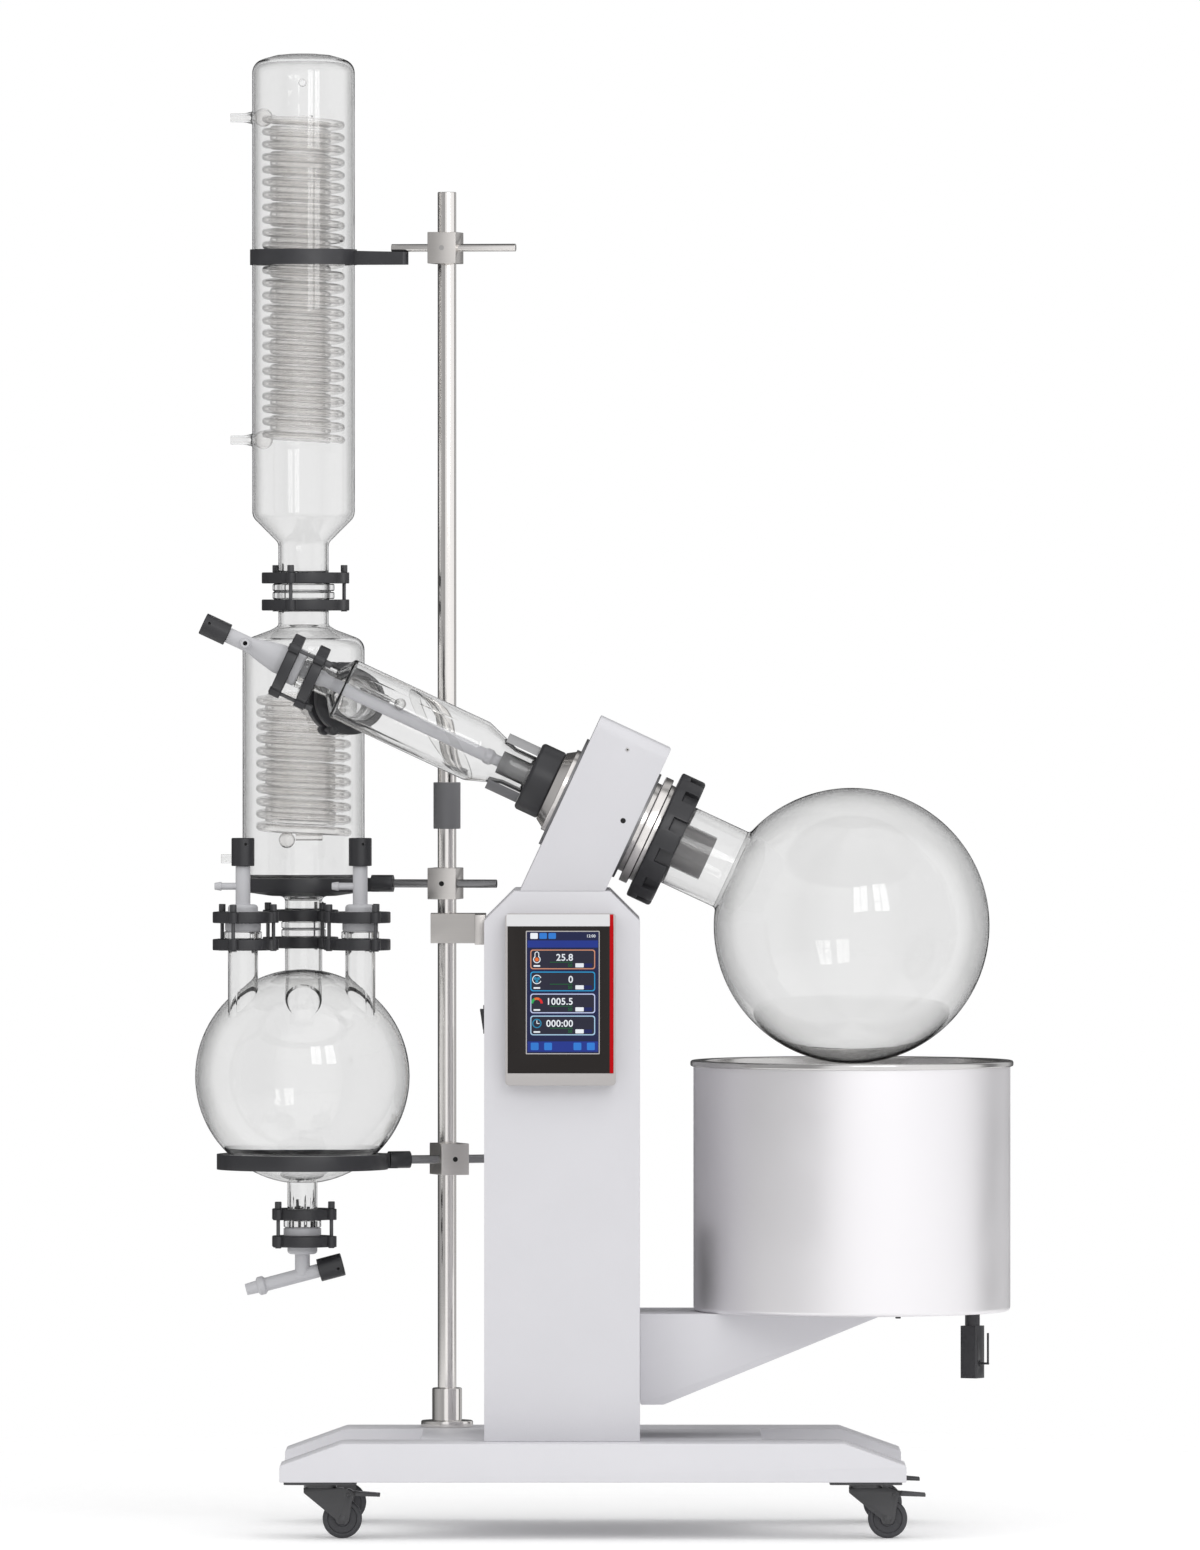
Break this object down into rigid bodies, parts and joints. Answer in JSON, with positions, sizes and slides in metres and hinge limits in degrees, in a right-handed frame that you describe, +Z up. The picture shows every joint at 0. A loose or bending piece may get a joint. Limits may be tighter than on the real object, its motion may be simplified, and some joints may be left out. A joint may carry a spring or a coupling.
{
  "type": "rotary evaporator",
  "caption": "Bench rotary evaporator on a braked wheeled base, with a lifting water bath, tilted flask drive, coil condensers, receiver flask and control panel.",
  "frame": {"origin": "centre of the footprint on the floor, below the middle of the whole object's box", "axes": "+Z up, -Y towards the user in front of the control panel, +X towards the bath and the evaporating flask"},
  "size_m": [1.0493, 0.544, 1.8955],
  "materials": {
    "bath_paint": "smooth satin enamel",
    "black_plastic": "matte black engineering plastic",
    "clear_glass": "clear borosilicate glass",
    "coil_glass": "clear borosilicate tube",
    "display": "lit touch screen with plain numbers",
    "motor_black": "black motor enamel",
    "panel_glass": "dark glossy front plate",
    "panel_shell": "smooth satin moulding with a dark red edge strip",
    "polished_steel": "polished stainless steel",
    "ptfe": "pale grey fluoroplastic",
    "steel": "brushed and turned stainless steel",
    "tyre": "dark grey hard rubber",
    "white_paint": "fine textured powder coat"
  },
  "bodies": {
    "root": {"base_frame": "white_paint", "column_shell": "white_paint", "column_rear_cover": "white_paint", "head_housing": "white_paint", "panel_case": "panel_shell", "panel_bezel": "panel_glass", "panel_display": "display", "support_rod": "steel", "rod_fittings": "steel", "cross_clamps": "steel", "condenser_holder": "steel", "tee_seat": "steel", "head_plates": "steel", "caster_plates": "steel", "bearings_and_seal": "steel", "lift_frame": "steel", "clamp_screws": "steel", "tee_nut": "black_plastic", "joint_clamps": "black_plastic", "middle_support_ring": "black_plastic", "lower_support_ring": "black_plastic", "feed_valve": "ptfe", "vent_valves": "ptfe", "drain_valve": "ptfe", "vapour_tee": "clear_glass", "upper_condenser": "clear_glass", "lower_condenser": "clear_glass", "receiver_flask": "clear_glass", "upper_coil": "coil_glass", "lower_coil": "coil_glass", "drive_motor": "motor_black"},
    "rotor": {"drive_shaft": "steel", "driven_gear": "steel", "vapour_tube": "clear_glass", "evaporating_flask": "clear_glass"},
    "pinion": {"motor_pinion": "steel"},
    "flask_nut": {"flask_nut": "black_plastic"},
    "bath": {"bath_jacket": "bath_paint", "bath_pot": "polished_steel", "bath_arm": "white_paint", "bath_drain_cock": "steel"},
    "drain_lever": {"drain_lever": "steel"},
    "lead_screw": {"lead_screw": "steel"},
    "rocker": {"power_rocker": "black_plastic"},
    "feed_knob": {"feed_knob": "black_plastic"},
    "left_vent_knob": {"left_vent_knob": "black_plastic"},
    "right_vent_knob": {"right_vent_knob": "black_plastic"},
    "drain_knob": {"drain_knob": "black_plastic"},
    "front_left_fork": {"front_left_fork": "steel"},
    "front_left_wheel": {"front_left_wheel": "tyre"},
    "front_left_pedal": {"front_left_pedal": "black_plastic"},
    "front_right_fork": {"front_right_fork": "steel"},
    "front_right_wheel": {"front_right_wheel": "tyre"},
    "front_right_pedal": {"front_right_pedal": "black_plastic"},
    "rear_left_fork": {"rear_left_fork": "steel"},
    "rear_left_wheel": {"rear_left_wheel": "tyre"},
    "rear_left_pedal": {"rear_left_pedal": "black_plastic"},
    "rear_right_fork": {"rear_right_fork": "steel"},
    "rear_right_wheel": {"rear_right_wheel": "tyre"},
    "rear_right_pedal": {"rear_right_pedal": "black_plastic"}
  },
  "joints": [
    {"name": "flask_rotation", "type": "hinge", "parent": "root", "child": "rotor", "pos_m": [0.0256, -0.057, 0.9104], "axis": [0.9063, 0, -0.4226], "continuous": true},
    {"name": "pinion_rotation", "type": "hinge", "parent": "root", "child": "pinion", "pos_m": [0.01292, 0.02573, 0.88321], "axis": [0.9063, 0, -0.4226], "continuous": true},
    {"name": "flask_nut_turn", "type": "hinge", "parent": "rotor", "child": "flask_nut", "pos_m": [0.06575, -0.057, 0.89168], "axis": [0.9063, 0, -0.4226], "range_deg": [0, 60]},
    {"name": "bath_lift", "type": "slide", "parent": "root", "child": "bath", "axis": [0, 0, 1], "range_m": [0, 0.12]},
    {"name": "lead_screw_turn", "type": "hinge", "parent": "root", "child": "lead_screw", "pos_m": [-0.0237, -0.057, 0.1223], "axis": [0, 0, 1], "continuous": true},
    {"name": "drain_lever_turn", "type": "hinge", "parent": "bath", "child": "drain_lever", "pos_m": [0.4723, -0.057, 0.215], "axis": [0.8746, -0.4848, 0], "range_deg": [0, 90]},
    {"name": "feed_knob_turn", "type": "hinge", "parent": "root", "child": "feed_knob", "pos_m": [-0.47921, -0.057, 1.1458], "axis": [0.9063, 0, -0.4226], "range_deg": [0, 360]},
    {"name": "left_vent_turn", "type": "hinge", "parent": "root", "child": "left_vent_knob", "pos_m": [-0.46194, 0.04034, 0.849], "axis": [0, 0, 1], "range_deg": [0, 360]},
    {"name": "right_vent_turn", "type": "hinge", "parent": "root", "child": "right_vent_knob", "pos_m": [-0.31146, 0.04034, 0.849], "axis": [0, 0, 1], "range_deg": [0, 360]},
    {"name": "drain_knob_turn", "type": "hinge", "parent": "root", "child": "drain_knob", "pos_m": [-0.3867, 0.095, 0.322], "axis": [0.9668, 0, 0.2554], "range_deg": [0, 360]},
    {"name": "power_rocker_tilt", "type": "hinge", "parent": "root", "child": "rocker", "pos_m": [-0.1497, -0.137, 0.6565], "axis": [0, 1, 0], "range_deg": [0, 10]},
    {"name": "front_left_swivel", "type": "hinge", "parent": "root", "child": "front_left_fork", "pos_m": [-0.3587, -0.215, 0.0732], "axis": [0, 0, 1], "continuous": true},
    {"name": "front_left_roll", "type": "hinge", "parent": "front_left_fork", "child": "front_left_wheel", "pos_m": [-0.3307, -0.215, 0.025], "axis": [0, 1, 0], "continuous": true},
    {"name": "front_left_brake", "type": "hinge", "parent": "front_left_fork", "child": "front_left_pedal", "pos_m": [-0.3227, -0.215, 0.056], "axis": [0, -1, 0], "range_deg": [0, 12]},
    {"name": "front_right_swivel", "type": "hinge", "parent": "root", "child": "front_right_fork", "pos_m": [0.3333, -0.215, 0.0732], "axis": [0, 0, 1], "continuous": true},
    {"name": "front_right_roll", "type": "hinge", "parent": "front_right_fork", "child": "front_right_wheel", "pos_m": [0.3613, -0.215, 0.025], "axis": [0, 1, 0], "continuous": true},
    {"name": "front_right_brake", "type": "hinge", "parent": "front_right_fork", "child": "front_right_pedal", "pos_m": [0.3693, -0.215, 0.056], "axis": [0, -1, 0], "range_deg": [0, 12]},
    {"name": "rear_left_swivel", "type": "hinge", "parent": "root", "child": "rear_left_fork", "pos_m": [-0.3587, 0.181, 0.0732], "axis": [0, 0, 1], "continuous": true},
    {"name": "rear_left_roll", "type": "hinge", "parent": "rear_left_fork", "child": "rear_left_wheel", "pos_m": [-0.3307, 0.181, 0.025], "axis": [0, 1, 0], "continuous": true},
    {"name": "rear_left_brake", "type": "hinge", "parent": "rear_left_fork", "child": "rear_left_pedal", "pos_m": [-0.3227, 0.181, 0.056], "axis": [0, -1, 0], "range_deg": [0, 12]},
    {"name": "rear_right_swivel", "type": "hinge", "parent": "root", "child": "rear_right_fork", "pos_m": [0.3333, 0.181, 0.0732], "axis": [0, 0, 1], "continuous": true},
    {"name": "rear_right_roll", "type": "hinge", "parent": "rear_right_fork", "child": "rear_right_wheel", "pos_m": [0.3613, 0.181, 0.025], "axis": [0, 1, 0], "continuous": true},
    {"name": "rear_right_brake", "type": "hinge", "parent": "rear_right_fork", "child": "rear_right_pedal", "pos_m": [0.3693, 0.181, 0.056], "axis": [0, -1, 0], "range_deg": [0, 12]}
  ],
  "couplings": [
    {"joint": "pinion_rotation", "follows": "flask_rotation", "ratio": -3},
    {"joint": "lead_screw_turn", "follows": "bath_lift", "rad_per_m": 628.32}
  ]
}
